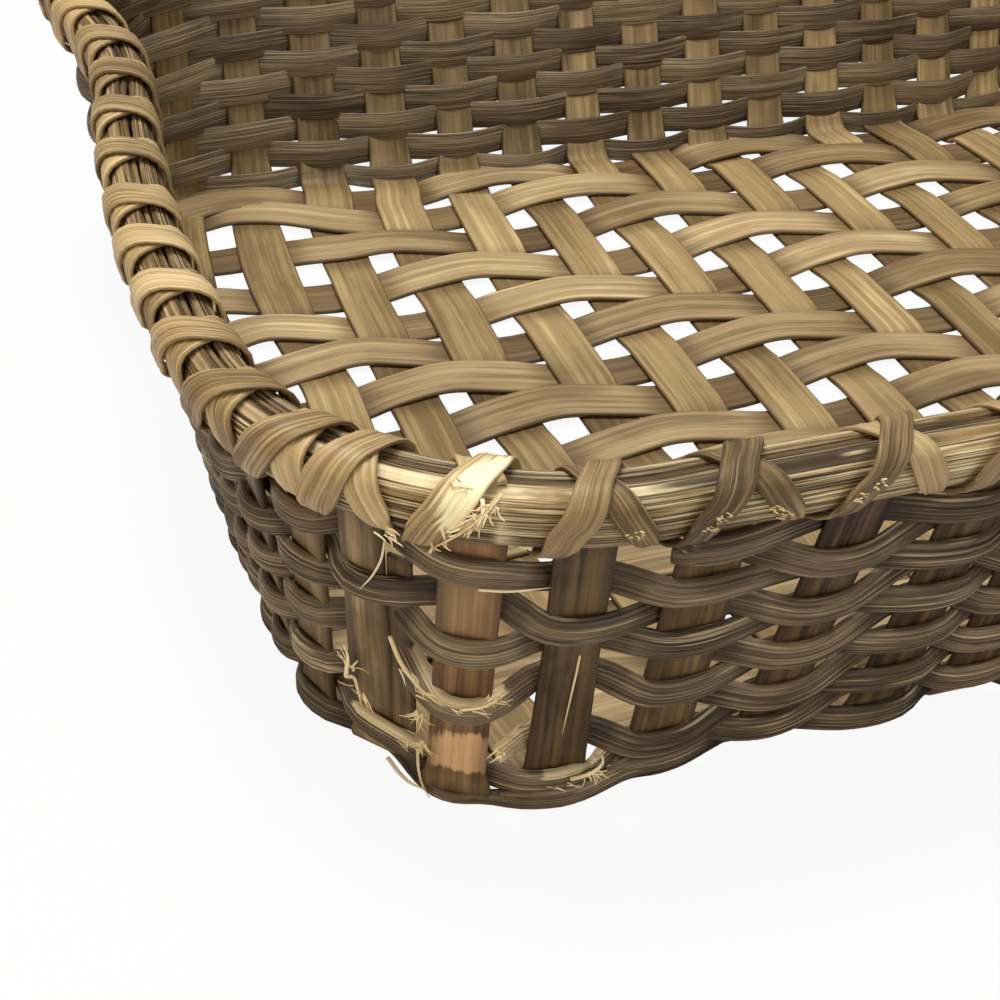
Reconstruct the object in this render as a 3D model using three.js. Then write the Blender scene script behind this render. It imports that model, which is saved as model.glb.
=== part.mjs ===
// A low rectangular gathering basket, woven from flat splints and split reed.
// Every splint of the base is one long strip: it rises up one wall, crosses the base in a
// two-over, two-under twill, and rises up the opposite wall, where it is a stake of the wall.
// Separate reed rings are woven over and under the stakes, and two hoops with a filler strip
// between them are bound to the tops of the stakes by two crossing lashings.
// Millimetres, +Z up. The origin is on the floor under the middle of the base, +X runs along
// the long side and -Y is the front.
import * as THREE from "three";

// Base: columns run from front to back, rows run from left to right.
const columnCount = 15;
const columnPitch = 25.4;
const columnWidth = 15.4;
const rowCount = 15;
const openRowPitch = 20.8; // the pitch of the rows at the back and in the middle
const tightRowPitch = 16.3; // the pitch of the rows beaten up towards the front
const tightRowSteps = 6;
const rowWidth = 12.7;
const splintThickness = 1.5;
const splintClearance = 0.3; // between two splints where they cross
const stepClearance = 0.8; // past the edge of a splint, where one that crosses it changes layer
const twillRepeat = 4;
const columnOverSteps = [1, 2]; // the steps of the repeat in which a column is on top

// Walls: the middle surface of a wall is a rounded rectangle that widens with the height.
const sideMargin = 10.3; // from the middle of the outermost column to the wall's middle surface
const frontMargin = 13; // from the middle of the outermost row to the wall's middle surface
const wallHeight = 81; // from the floor to the underside of the rim
const frontFlare = 16; // how far the front and back walls lean out over that height
const sideFlare = 9.8;
const baseCornerRadius = 52;
const rimCornerRadius = 67;
const columnDrawIn = 0.916; // the share of its place in the base that a column keeps at the wall
const rowDrawIn = 0.93;
const drawInPower = 2; // the draw-in grows as this power of the distance from the middle
const columnStakeWidth = 14.3; // the splints are trimmed narrower where they are stakes
const rowStakeWidth = 10.4;
const bendRun = 2.4; // how far inside the wall a splint starts to turn up
const bendRise = 3.4; // the height at which it has turned
const elbowRunShare = 1 / 4; // the sharpest point of the turn, as shares of its run and rise
const elbowRiseShare = 1 / 3;

// Weavers: closed rings of flat-oval reed, flat side inwards.
const weaverHeight = 6.2;
const weaverThickness = 2;
const weaverClearance = 0.3; // to the flat of a stake, and to the base under the first ring
const leastWeaverGap = 0.3; // between two rings, where they change sides between two stakes
const edgeClearance = 0.4; // how far past the edge of a stake a weaver or hoop stays level

// Rim: two half-round hoops that clasp the stakes, and a strip between them on the stakes' tops.
const hoopHeight = 12.7;
const hoopThickness = 4.8;
const hoopShoulder = 3.4; // how thick the hoop is where its back starts to round off
const hoopShoulderRise = 5;
const hoopClearance = 0.3;
const stakeTopDrop = 1; // how far the top of a stake lies below the top of the hoops
const fillerThickness = 1.5;
const fillerProud = 0.6; // how far the filler stands above the hoops
const fillerClearance = 0.3;

// Lashing: two strands wound round the rim in opposite directions, crossing over each stake.
const lashWidth = 7.6;
const lashThickness = 1;
const lashClearance = 0.7;
const lashLayerGap = 1.1;
const lashSpread = 2; // from the middle of a stake to a strand where it goes over the rim

const tan = new THREE.MeshStandardMaterial({ color: 0x9a8358, roughness: 0.75, metalness: 0 });
const olive = new THREE.MeshStandardMaterial({ color: 0x8b7650, roughness: 0.75, metalness: 0 });
const brown = new THREE.MeshStandardMaterial({ color: 0x6f5a3a, roughness: 0.7, metalness: 0 });
const gold = new THREE.MeshStandardMaterial({ color: 0xa08655, roughness: 0.6, metalness: 0 });
const straw = new THREE.MeshStandardMaterial({ color: 0xb89c66, roughness: 0.55, metalness: 0 });

const basket = new THREE.Group();

const up = new THREE.Vector3(0, 0, 1);
const lowLayer = splintThickness / 2;
const highLayer = lowLayer + splintThickness + splintClearance;
const columnSpan = (columnCount - 1) * columnPitch;
const rowSpan = (rowCount - 1 - tightRowSteps) * openRowPitch + tightRowSteps * tightRowPitch;
const halfLength = columnSpan / 2 + sideMargin;
const halfDepth = rowSpan / 2 + frontMargin;
const hoopTop = wallHeight + hoopHeight;
const stakeTop = hoopTop - stakeTopDrop;

// Rings of corner points, all of one count, joined into one closed solid. The corners of a
// ring run anticlockwise as seen looking back along the strip.
function stripGeometry(rings, closed) {
  const corners = rings[0].length;
  const positions = rings.flat().flatMap((p) => [p.x, p.y, p.z]);
  const faces = [];
  const joints = closed ? rings.length : rings.length - 1;
  for (let i = 0; i < joints; i++) {
    const here = i * corners;
    const next = ((i + 1) % rings.length) * corners;
    for (let j = 0; j < corners; j++) {
      const k = (j + 1) % corners;
      faces.push(here + j, here + k, next + k, here + j, next + k, next + j);
    }
  }
  if (!closed) {
    const last = (rings.length - 1) * corners;
    for (let j = 1; j < corners - 1; j++) {
      faces.push(0, j + 1, j, last, last + j, last + j + 1);
    }
  }
  const geometry = new THREE.BufferGeometry();
  geometry.setAttribute("position", new THREE.Float32BufferAttribute(positions, 3));
  geometry.setIndex(faces);
  return geometry;
}

function addPiece(name, rings, closed, material) {
  const piece = new THREE.Mesh(stripGeometry(rings, closed), material);
  piece.name = name;
  basket.add(piece);
}

// The four corners of a flat strip at one station of its path.
function flatSection(centre, across, through, width, thickness) {
  const side = across.clone().multiplyScalar(width / 2);
  const rise = through.clone().multiplyScalar(thickness / 2);
  return [
    centre.clone().sub(side).sub(rise),
    centre.clone().sub(side).add(rise),
    centre.clone().add(side).add(rise),
    centre.clone().add(side).sub(rise),
  ];
}

// The place and outward direction of the wall's middle surface at a stake. along is the
// stake's place on its wall, and the outline is a rounded rectangle.
function wallPoint(along, reach, alongReach, radius) {
  const intoCorner = Math.max(0, Math.abs(along) - (alongReach - radius));
  const turn = Math.asin(Math.min(1, intoCorner / radius));
  return { out: reach - radius + radius * Math.cos(turn), turn: Math.sign(along) * turn };
}

// A stake is flat and straight: it has one outward direction, one direction across it, and a
// middle line that runs from its foot to its top.
function makeStake(wall, alongBase, alongRim, width) {
  const frontOrBack = wall === "front" || wall === "back";
  const reach = frontOrBack ? halfDepth : halfLength;
  const alongReach = frontOrBack ? halfLength : halfDepth;
  const flare = frontOrBack ? frontFlare : sideFlare;
  const alongFlare = frontOrBack ? sideFlare : frontFlare;
  const foot = wallPoint(alongBase, reach, alongReach, baseCornerRadius);
  const head = wallPoint(alongRim, reach + flare, alongReach + alongFlare, rimCornerRadius);
  const turn = (foot.turn + head.turn) / 2;
  const sign = wall === "front" || wall === "left" ? -1 : 1;
  const place = (point, along, z) =>
    frontOrBack
      ? new THREE.Vector3(along, sign * point.out, z)
      : new THREE.Vector3(sign * point.out, along, z);
  const outward = frontOrBack
    ? new THREE.Vector3(Math.sin(turn), sign * Math.cos(turn), 0)
    : new THREE.Vector3(sign * Math.cos(turn), Math.sin(turn), 0);
  const low = place(foot, alongBase, 0);
  const high = place(head, alongRim, wallHeight);
  return {
    width,
    outward,
    across: new THREE.Vector3().crossVectors(up, outward),
    at: (z) => low.clone().lerp(high, z / wallHeight),
  };
}

// Where the splints lie in the base, before the walls draw their ends together.
const columnPlace = (c) => (c - (columnCount - 1) / 2) * columnPitch;
function rowPlace(r) {
  const tightSteps = Math.max(0, r - (rowCount - 1 - tightRowSteps));
  return rowSpan / 2 - (r - tightSteps) * openRowPitch - tightSteps * tightRowPitch;
}
const drawnIn = (place, keep, share) => place * (1 - (1 - keep) * share ** drawInPower);
const columnX = (c, y) => drawnIn(columnPlace(c), columnDrawIn, y / halfDepth);
const rowY = (r, x) => drawnIn(rowPlace(r), rowDrawIn, x / halfLength);

// The twill: a column lies over two rows and under the next two, one step later each column.
function columnOnTop(c, r) {
  const step = (((r - c) % twillRepeat) + twillRepeat) % twillRepeat;
  return columnOverSteps.includes(step);
}

// A stake of a front or back wall rises straight in the wall, and one of a side wall spreads
// with the wall's flare.
const sideSpread = (halfDepth + frontFlare) / halfDepth;
const columnStakes = { front: [], back: [] };
const rowStakes = { left: [], right: [] };
for (let c = 0; c < columnCount; c++) {
  const along = columnX(c, halfDepth);
  for (const wall of ["front", "back"]) {
    columnStakes[wall].push(makeStake(wall, along, along, columnStakeWidth));
  }
}
for (let r = 0; r < rowCount; r++) {
  const along = rowY(r, halfLength);
  for (const wall of ["left", "right"]) {
    rowStakes[wall].push(makeStake(wall, along, along * sideSpread, rowStakeWidth));
  }
}

// One end of a splint, from its top down to where it lies flat in the base.
function stakeSections(stake, across) {
  const inward = stake.outward.clone().negate();
  const leaning = inward.clone().add(up).normalize();
  const foot = stake.at(0);
  const elbow = foot.clone().addScaledVector(inward, bendRun * elbowRunShare);
  const section = (centre, through) =>
    flatSection(centre, across, through, stake.width, splintThickness);
  return [
    section(stake.at(stakeTop), inward),
    section(stake.at(bendRise), inward),
    section(elbow.setZ(bendRise * elbowRiseShare), leaning),
    section(foot.clone().addScaledVector(inward, bendRun).setZ(lowLayer), up),
  ];
}

// Where the edge of a column meets the edge of a row, seen from above. The sides are -1 or 1,
// and an extra widens the splint that the other one has to clear.
function cornerPoint(c, columnSide, columnExtra, r, rowSide, rowExtra) {
  let x = columnPlace(c);
  let y = rowPlace(r);
  const refinements = 8;
  for (let i = 0; i < refinements; i++) {
    const taperedColumn = drawnIn(columnWidth, columnStakeWidth / columnWidth, y / halfDepth);
    const taperedRow = drawnIn(rowWidth, rowStakeWidth / rowWidth, x / halfLength);
    x = columnX(c, y) + columnSide * (taperedColumn / 2 + columnExtra);
    y = rowY(r, x) + rowSide * (taperedRow / 2 + rowExtra);
  }
  return new THREE.Vector3(x, y, 0);
}

// The flat stretch of a splint, which changes its layer in the gap between two crossings.
// crossings tells for each one whether this splint is on top, and edgeAt gives the two edge
// points of the splint just before (-1) or after (1) a crossing.
function flatSections(crossings, edgeAt) {
  const sections = [];
  const add = (crossing, side, onTop) => {
    const [left, right] = edgeAt(crossing, side);
    const middle = onTop ? highLayer : lowLayer;
    const low = middle - splintThickness / 2;
    const high = middle + splintThickness / 2;
    sections.push([
      left.clone().setZ(low),
      left.clone().setZ(high),
      right.clone().setZ(high),
      right.clone().setZ(low),
    ]);
  };
  for (let i = 0; i < crossings.length; i++) {
    const onTop = crossings[i];
    const wasOnTop = i > 0 && crossings[i - 1];
    const willBeOnTop = i < crossings.length - 1 && crossings[i + 1];
    if (onTop !== wasOnTop) add(i, -1, onTop);
    if (onTop !== willBeOnTop) add(i, 1, onTop);
  }
  return sections;
}

for (let c = 0; c < columnCount; c++) {
  const crossings = [];
  for (let r = rowCount - 1; r >= 0; r--) crossings.push(columnOnTop(c, r));
  const edgeAt = (crossing, side) =>
    [-1, 1].map((edge) => cornerPoint(c, edge, 0, rowCount - 1 - crossing, side, stepClearance));
  const front = columnStakes.front[c];
  const back = columnStakes.back[c];
  const rings = [
    ...stakeSections(front, front.across),
    ...flatSections(crossings, edgeAt),
    ...stakeSections(back, back.across.clone().negate()).reverse(),
  ];
  addPiece("base_column_" + String(c + 1).padStart(2, "0"), rings, false, tan);
}

for (let r = 0; r < rowCount; r++) {
  const crossings = [];
  for (let c = 0; c < columnCount; c++) crossings.push(!columnOnTop(c, r));
  const edgeAt = (crossing, side) =>
    [1, -1].map((edge) => cornerPoint(crossing, side, stepClearance, r, edge, 0));
  const left = rowStakes.left[r];
  const right = rowStakes.right[r];
  const rings = [
    ...stakeSections(left, left.across),
    ...flatSections(crossings, edgeAt),
    ...stakeSections(right, right.across.clone().negate()).reverse(),
  ];
  addPiece("base_row_" + String(r + 1).padStart(2, "0"), rings, false, olive);
}

// The stakes in order round the basket, anticlockwise from the left end of the front wall.
const stakes = [
  ...columnStakes.front,
  ...rowStakes.right.slice().reverse(),
  ...columnStakes.back.slice().reverse(),
  ...rowStakes.left,
];

// Stations of a ring that runs level past both edges of each stake. Each has the stake and
// the distance from the stake's middle.
const stations = stakes.flatMap((stake, index) =>
  [-1, 1].map((side) => ({
    stake,
    index,
    along: side * (stake.width / 2 + edgeClearance),
  })),
);
function stationPoint(station, out, z) {
  return station.stake
    .at(z)
    .addScaledVector(station.stake.across, station.along)
    .addScaledVector(station.stake.outward, out);
}

const weaverOut = splintThickness / 2 + weaverClearance + weaverThickness / 2;
const highestWeaver =
  wallHeight - 2 * (lashThickness + lashLayerGap) - lashClearance - splintClearance - weaverHeight / 2;
const firstWeaver = highLayer + splintThickness / 2 + weaverClearance + weaverHeight / 2;
const weaverSpan = highestWeaver - firstWeaver;
const weaverCount = 1 + Math.floor(weaverSpan / (weaverHeight + leastWeaverGap));
const weaverPitch = weaverSpan / (weaverCount - 1);
for (let w = 0; w < weaverCount; w++) {
  const z = firstWeaver + w * weaverPitch;
  const rings = stations.map((station) => {
    const out = (station.index + w) % 2 === 0 ? weaverOut : -weaverOut;
    return [
      stationPoint(station, out - weaverThickness / 2, z - weaverHeight / 2),
      stationPoint(station, out - weaverThickness / 2, z + weaverHeight / 2),
      stationPoint(station, out + weaverThickness / 2, z),
    ];
  });
  addPiece("weaver_" + String(w + 1).padStart(2, "0"), rings, true, brown);
}

// A hoop bends only at the corners, so the stations inside a straight run are left out.
const leastBend = 1e-4; // radians
function bendsAt(i) {
  const middle = stationPoint(stations[i], 0, hoopTop);
  const before = stationPoint(stations.at(i - 1), 0, hoopTop);
  const after = stationPoint(stations[(i + 1) % stations.length], 0, hoopTop);
  const turn = middle.clone().sub(before).angleTo(after.sub(middle));
  return turn > leastBend;
}
const rimStations = stations.filter((station, i) => bendsAt(i));

const hoopMiddle = wallHeight + hoopHeight / 2;
const hoopIn = splintThickness / 2 + hoopClearance;
const hoopProfile = [
  [0, -hoopHeight / 2],
  [hoopShoulder, -hoopShoulderRise],
  [hoopThickness, 0],
  [hoopShoulder, hoopShoulderRise],
  [0, hoopHeight / 2],
];
for (const [name, side] of [["rim_outer_hoop", 1], ["rim_inner_hoop", -1]]) {
  const profile = side > 0 ? hoopProfile.slice().reverse() : hoopProfile;
  const rings = rimStations.map((station) =>
    profile.map(([out, rise]) => stationPoint(station, side * (hoopIn + out), hoopMiddle + rise)),
  );
  addPiece(name, rings, true, gold);
}

const fillerLow = stakeTop + fillerClearance;
const fillerHigh = hoopTop + fillerProud;
const fillerRings = rimStations.map((station) => [
  stationPoint(station, -fillerThickness / 2, fillerLow),
  stationPoint(station, -fillerThickness / 2, fillerHigh),
  stationPoint(station, fillerThickness / 2, fillerHigh),
  stationPoint(station, fillerThickness / 2, fillerLow),
]);
addPiece("rim_filler", fillerRings, true, straw);

// Lengths along the rim, so that a strand can be placed between two stations.
const rimLengths = [0];
for (let i = 1; i <= stations.length; i++) {
  const here = stationPoint(stations[i % stations.length], 0, hoopTop);
  const before = stationPoint(stations[i - 1], 0, hoopTop);
  rimLengths.push(rimLengths[i - 1] + here.distanceTo(before));
}
const rimLength = rimLengths[stations.length];
function rimPoint(length, out, z) {
  const wrapped = ((length % rimLength) + rimLength) % rimLength;
  const next = rimLengths.findIndex((value) => value > wrapped);
  const share = (wrapped - rimLengths[next - 1]) / (rimLengths[next] - rimLengths[next - 1]);
  const before = stationPoint(stations[next - 1], out, z);
  return before.lerp(stationPoint(stations[next % stations.length], out, z), share);
}
const stakeLength = (k) => (rimLengths[2 * k] + rimLengths[2 * k + 1]) / 2;

// The gap between a stake and the next one, as lengths along the rim. Turn tells how many
// times the count has gone round the basket.
function gapAfter(k) {
  const turn = Math.floor(k / stakes.length);
  const index = k - turn * stakes.length;
  const start = rimLengths[2 * index + 1] - edgeClearance;
  const end = rimLengths[2 * index + 2] + edgeClearance;
  const middle = (start + end) / 2 + turn * rimLength;
  return { middle, width: end - start - 2 * splintClearance };
}

// A strand passes under the rim in the gap before a stake, climbs the outside, goes over the
// rim at the stake, and comes down the inside to the gap after it. The return strand does the
// same the other way round, one layer further in.
function lashingRings(way, layer) {
  const lift = lashClearance + lashThickness / 2 + layer * (lashThickness + lashLayerGap);
  const out = hoopIn + hoopThickness + lift;
  const top = hoopTop + fillerProud + lift;
  const bottom = wallHeight - lift;
  const rings = [];
  for (let i = 0; i < stakes.length; i++) {
    const k = way > 0 ? i : stakes.length - 1 - i;
    const middle = stakeLength(k);
    const before = gapAfter(k - 1);
    const after = gapAfter(k);
    const first = way > 0 ? before : after;
    const second = way > 0 ? after : before;
    const slantWidth = (gap) => {
      const run = Math.abs(gap.middle - middle) - lashSpread;
      return lashWidth / Math.cos(Math.atan2(run, top - bottom));
    };
    const add = (length, width, side, z) => {
      const thick = lashThickness / 2;
      const slope = z === top ? 1 : z === bottom ? -1 : 0;
      const sideOf = (edge, outer) => {
        const zOuter = z + slope * outer * thick;
        return rimPoint(length + (edge * width) / 2, side * (out + outer * thick), zOuter);
      };
      rings.push([sideOf(-1, -1), sideOf(-1, 1), sideOf(1, 1), sideOf(1, -1)]);
    };
    const narrow = (gap) => Math.min(gap.width, slantWidth(gap));
    const firstTop = middle - way * lashSpread;
    const secondTop = middle + way * lashSpread;
    // Halfway up a slanted run, where the strand bends with the rim at a corner.
    const addHalfway = (gap, topLength, side) => {
      const width = (narrow(gap) + slantWidth(gap)) / 2;
      add((gap.middle + topLength) / 2, width, side, (bottom + top) / 2);
    };
    add(first.middle, narrow(first), 1, bottom);
    addHalfway(first, firstTop, 1);
    add(firstTop, slantWidth(first), 1, top);
    add(secondTop, slantWidth(second), -1, top);
    addHalfway(second, secondTop, -1);
    add(second.middle, narrow(second), -1, bottom);
  }
  return rings;
}
addPiece("lashing_forward", lashingRings(1, 1), true, straw);
addPiece("lashing_return", lashingRings(-1, 0), true, straw);

export default basket;
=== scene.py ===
import bpy
import numpy as np
from mathutils import Matrix


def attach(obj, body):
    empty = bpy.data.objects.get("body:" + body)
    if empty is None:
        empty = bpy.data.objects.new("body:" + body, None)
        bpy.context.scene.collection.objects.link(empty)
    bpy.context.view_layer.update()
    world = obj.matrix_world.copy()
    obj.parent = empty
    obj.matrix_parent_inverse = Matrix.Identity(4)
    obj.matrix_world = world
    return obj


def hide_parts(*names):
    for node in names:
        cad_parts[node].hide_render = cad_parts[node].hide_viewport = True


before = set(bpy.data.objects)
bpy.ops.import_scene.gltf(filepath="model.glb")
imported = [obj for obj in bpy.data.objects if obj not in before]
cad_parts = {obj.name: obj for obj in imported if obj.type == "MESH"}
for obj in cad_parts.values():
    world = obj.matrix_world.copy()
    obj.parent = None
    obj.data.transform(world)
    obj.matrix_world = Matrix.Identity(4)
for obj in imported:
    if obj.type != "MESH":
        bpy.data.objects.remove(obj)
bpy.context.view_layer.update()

# Base columns: flat splints of split reed that run from front to back. Each lies over two rows
# and under the next two, and both its ends turn up to be stakes of the front and back walls.
# They are nailed or glued to nothing: the weave and the rim hold them.
random = np.random.default_rng(11)
column_count = 15
column_pitch = 25.4
column_width = 15.5
column_stake_widths = np.array([12.3, 12.3, 14.0, 12.8, 13.5, 14.3, 13.2, 14.3, 13.6, 14.3, 13.0, 14.0,
                                14.3, 13.4, 12.8])
row_count = 15
open_row_pitch = 20.8
tight_row_pitch = 16.3
tight_row_steps = 6
open_row_steps = row_count - 1 - tight_row_steps
row_width = 14.6
row_stake_width = 10.4
splint_thickness = 1.5
low_layer = 0.75
high_layer = 2.55
bend_rise = 5.5
side_margin = 10.3
front_margin = 13.0
wall_height = 81.0
stake_top = 92.7
stake_points = 30
front_flare = 16.0
side_flare = 9.8
base_corner_radius = 52.0
rim_corner_radius = 67.0
column_draw_in = 0.916
row_draw_in = 0.93
row_span = open_row_steps * open_row_pitch + tight_row_steps * tight_row_pitch
half_length = (column_count - 1) * column_pitch / 2 + side_margin
half_depth = row_span / 2 + front_margin


def column_place(c):
    return (c - (column_count - 1) / 2) * column_pitch


def row_place(r):
    tight = np.maximum(0, r - open_row_steps)
    return row_span / 2 - (r - tight) * open_row_pitch - tight * tight_row_pitch


def smooth_step(value):
    share = np.clip(value, 0, 1)
    return share * share * (3 - 2 * share)


def ramp(values, start, reach):
    """Rises from 0 at start to 1 a reach further on. With a negative reach it rises backwards."""
    return smooth_step((values - start) / reach)


def hump(values, middle, width):
    return np.exp(-((values - middle) / width) ** 2)


def unit(vectors):
    return vectors / np.linalg.norm(vectors, axis=-1, keepdims=True)


def wander(places, knot_step, amount):
    """A smooth random line through the places, as hand work leaves it."""
    start = places.min() - knot_step
    count = int((places.max() - start) / knot_step) + 3
    knots = random.uniform(-1, 1, count)
    index = (places - start) / knot_step
    whole = np.floor(index).astype(int)
    share = smooth_step(index - whole)
    return amount * (knots[whole] * (1 - share) + knots[np.minimum(whole + 1, count - 1)] * share)


def smoothed(values, passes):
    """Rounds the corners of a line of points, and keeps its two ends."""
    result = values.astype(float)
    for _ in range(passes):
        inner = (result[:-2] + 2 * result[1:-1] + result[2:]) / 4
        result = np.concatenate([result[:1], inner, result[-1:]])
    return result


def run_along(points):
    """How far along their line the points lie."""
    steps = np.linalg.norm(np.diff(points, axis=0), axis=1)
    return np.concatenate([[0.0], np.cumsum(steps)])


def read_off(places, length, vectors):
    """The vectors, given at the lengths, read at other places."""
    return np.stack([np.interp(places, length, vectors[:, k]) for k in range(3)], -1)


# Years of use have bent the basket: near the front corner the left wall's foot has sunk in, the
# left rim bows, the back wall's foot has come forward, and some rows of the base have drifted.
left_foot_sunk = 6.0
left_foot_bow = 6.0
left_rim_bow = 6.5
left_rim_dent = 2.2
bow_height = 87.0
back_foot_forward = 13.0
back_foot_height = 60.0
back_left_drift = 6.0
drift_height = 40.0
# How far a patch of the base has drifted back, and its middle and width along x and along y.
base_drifts = ((-4.2, (-55, 60), (52, 42)), (3.8, (5, 50), (-25, 28)))


def settled(points):
    x, y, z = points[..., 0], points[..., 1], points[..., 2]
    rise = np.clip(z / bow_height, 0, 1)
    sunk = ramp(x, -130, -60) * ramp(y, 40, -130)
    left = ramp(x, -100, -60)
    foot_bow = left_foot_bow * hump(y, 20, 42)
    rim_bow = left_rim_bow * hump(y, 45, 38) - left_rim_dent * hump(y, -55, 35)
    drift = back_left_drift * (ramp(x, -110, -50) * ramp(y, 30, 70) * ramp(y, 150, -40))
    for amount, along_x, along_y in base_drifts:
        drift = drift + amount * hump(x, *along_x) * hump(y, *along_y)
    back_foot = ramp(x, -190, 130) * ramp(x, 175, -60) * ramp(y, 110, 26)
    moved = points.copy()
    moved[..., 1] -= back_foot_forward * back_foot * np.clip(1 - z / back_foot_height, 0, 1)
    moved[..., 0] += left_foot_sunk * sunk * np.clip(1 - z / wall_height, 0, 1)
    moved[..., 0] += left * (foot_bow * (1 - rise) + rim_bow * rise)
    moved[..., 1] += np.clip(1 - z / drift_height, 0, 1) * drift
    return moved


# The stakes are spaced by hand: how far each has moved along its wall, at foot and top.
front_foot_shift = np.array([0.2, -1.5, -2.0, -0.4, 4.3, 4.0, 2.0] + [0.0] * 8)
front_top_shift = np.array([-0.1, -4.4, -1.8, 5.1, 9.0, 6.0, 3.0] + [0.0] * 8)
left_top_shift = np.array([0.0] * 7 + [-1.0, -2.5, -4.0, -6.0, -8.0, -10.0, -9.5, -2.9])
left_foot_shift = np.array([0.0] * 12 + [1.0, 1.0, -1.2])
shift_from = 60.0


def column_keep(y):
    """The columns close up towards the front and the back: the share of its place one keeps."""
    return 1 - (1 - column_draw_in) * (y / half_depth) ** 2


def column_x(c, y):
    near_front = np.clip((-y - shift_from) / (half_depth - shift_from), 0, 1) ** 2
    return column_place(c) * column_keep(y) + front_foot_shift[c] * near_front


# A row is pushed forward where it passes under two columns and back where it passes over two,
# less so in the tight rows at the front. The rows at the back have drifted besides.
row_pushes = np.array([0.0, 4.4, 2.1, -4.4])
tight_push_loss = 0.6
straight_end = 12
left_drift = np.array([0.0, 13.0, 7.5, 1.5] + [0.0] * 11)
last_row_back = 5.5


def row_push(r, x, y):
    place = x / (column_pitch * column_keep(y)) + (column_count - 1) / 2 - 0.5
    gap = np.floor(place).astype(int)
    share = smooth_step(place - gap)
    here = row_pushes[(r - 1 - gap) % 4]
    following = row_pushes[(r - gap - 2) % 4]
    strength = 1 - tight_push_loss * ramp(r, open_row_steps - 0.5, 3)
    from_wall = ramp(np.abs(x), half_length - straight_end, -14)
    return (here * (1 - share) + following * share) * strength * from_wall


def row_y(r, x, y):
    drifted = left_drift[r] * ramp(x, -118, -38) * ramp(x, -190, 14)
    if r == 0:
        drifted = drifted + last_row_back * ramp(x, -165, 30) * ramp(x, 165, -30)
    return drifted + row_place(r) * (1 - (1 - row_draw_in) * (x / half_length) ** 2) - row_push(r, x, y)


def column_on_top(c, r):
    return (r - c) % 4 in (1, 2)


# Where each column crosses each row, found by going to and fro between the two lines.
cross_x = np.zeros((column_count, row_count))
cross_y = np.zeros((column_count, row_count))
for c in range(column_count):
    for r in range(row_count):
        x, y = np.array([column_place(c)]), np.array([row_place(r)])
        for _ in range(12):
            x = column_x(c, y)
            y = row_y(r, x, y)
        cross_x[c, r], cross_y[c, r] = x[0], y[0]


def wall_point(along, reach, along_reach, radius):
    """How far out the wall is at a place along it, and how far it has turned round the corner."""
    into_corner = max(0.0, abs(along) - (along_reach - radius))
    turn = np.arcsin(min(1.0, into_corner / radius))
    return reach - radius + radius * np.cos(turn), np.sign(along) * turn


def make_stake(wall, along_base, along_rim, width):
    """A stake's foot, its top at the rim's underside, and its outward direction."""
    ends = wall in ("front", "back")
    reach, along_reach = (half_depth, half_length) if ends else (half_length, half_depth)
    flare, along_flare = (front_flare, side_flare) if ends else (side_flare, front_flare)
    foot_out, foot_turn = wall_point(along_base, reach, along_reach, base_corner_radius)
    head_out, head_turn = wall_point(along_rim, reach + flare, along_reach + along_flare, rim_corner_radius)
    turn = (foot_turn + head_turn) / 2
    sign = -1 if wall in ("front", "left") else 1
    foot = np.array([along_base, sign * foot_out, 0.0])
    head = np.array([along_rim, sign * head_out, wall_height])
    outward = np.array([np.sin(turn), sign * np.cos(turn), 0.0])
    if not ends:
        foot, head, outward = foot[[1, 0, 2]], head[[1, 0, 2]], outward[[1, 0, 2]]
    return {"foot": foot, "head": head, "outward": outward, "width": width, "bend_rise": bend_rise}


def stake_point(stake, z):
    z = np.asarray(z, float)[..., None]
    return stake["foot"] + (stake["head"] - stake["foot"]) * z / wall_height


front_stakes, back_stakes, left_stakes, right_stakes = [], [], [], []
for c in range(column_count):
    along = column_place(c) * column_draw_in
    front_stakes.append(make_stake("front", along + front_foot_shift[c], along + front_top_shift[c],
                                   column_stake_widths[c]))
    back_stakes.append(make_stake("back", along, along, column_stake_widths[-1 - c]))
# The corner stake stands a little further out, and bends more sharply at its foot.
corner_foot_out = 3.5
corner_bend_rise = 1.2
corner_stake = front_stakes[0]
corner_stake["bend_rise"] = corner_bend_rise
corner_stake["foot"] = corner_stake["foot"] + corner_foot_out * corner_stake["outward"]
side_spread = (half_depth + front_flare) / half_depth
for r in range(row_count):
    along = row_place(r) * row_draw_in
    left_stakes.append(make_stake("left", along + left_foot_shift[r],
                                  along * side_spread + left_top_shift[r], row_stake_width))
    right_stakes.append(make_stake("right", along, along * side_spread, row_stake_width))


paint_kinds = ("wear", "shade", "weather")
depth_share = 0.6


def join_sections(points, length, over, through, strand, **paint):
    """Rows of section points joined into one closed strip that stands on the floor or above it.
    Its reed attribute holds the place along it, the place across it, and its own number. Each
    kind of paint has one value for the strip, one a row, or one a point."""
    count, corners = points.shape[:2]
    points[..., 2] = np.maximum(points[..., 2], 0.0)
    ring = np.arange(corners)
    rows = np.arange(count - 1)[:, None] * corners
    here = rows + ring
    there = rows + (ring + 1) % corners
    sides = np.stack([here, there, there + corners, here + corners], -1).reshape(-1, 4)
    reed = np.empty(points.shape)
    reed[..., 0] = length[:, None] / 1000
    reed[..., 1] = (over + depth_share * through) / 1000
    reed[..., 2] = strand
    strip = {"points": points.reshape(-1, 3) / 1000, "sides": sides, "reed": reed.reshape(-1, 3),
             "caps": [ring[::-1], (count - 1) * corners + ring]}
    for kind in paint_kinds:
        value = np.asarray(paint.get(kind, 0.0), float)
        if value.ndim < 2:
            value = value.reshape(-1, 1)
        strip[kind] = np.broadcast_to(value, (count, corners)).ravel()
    return strip


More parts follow.
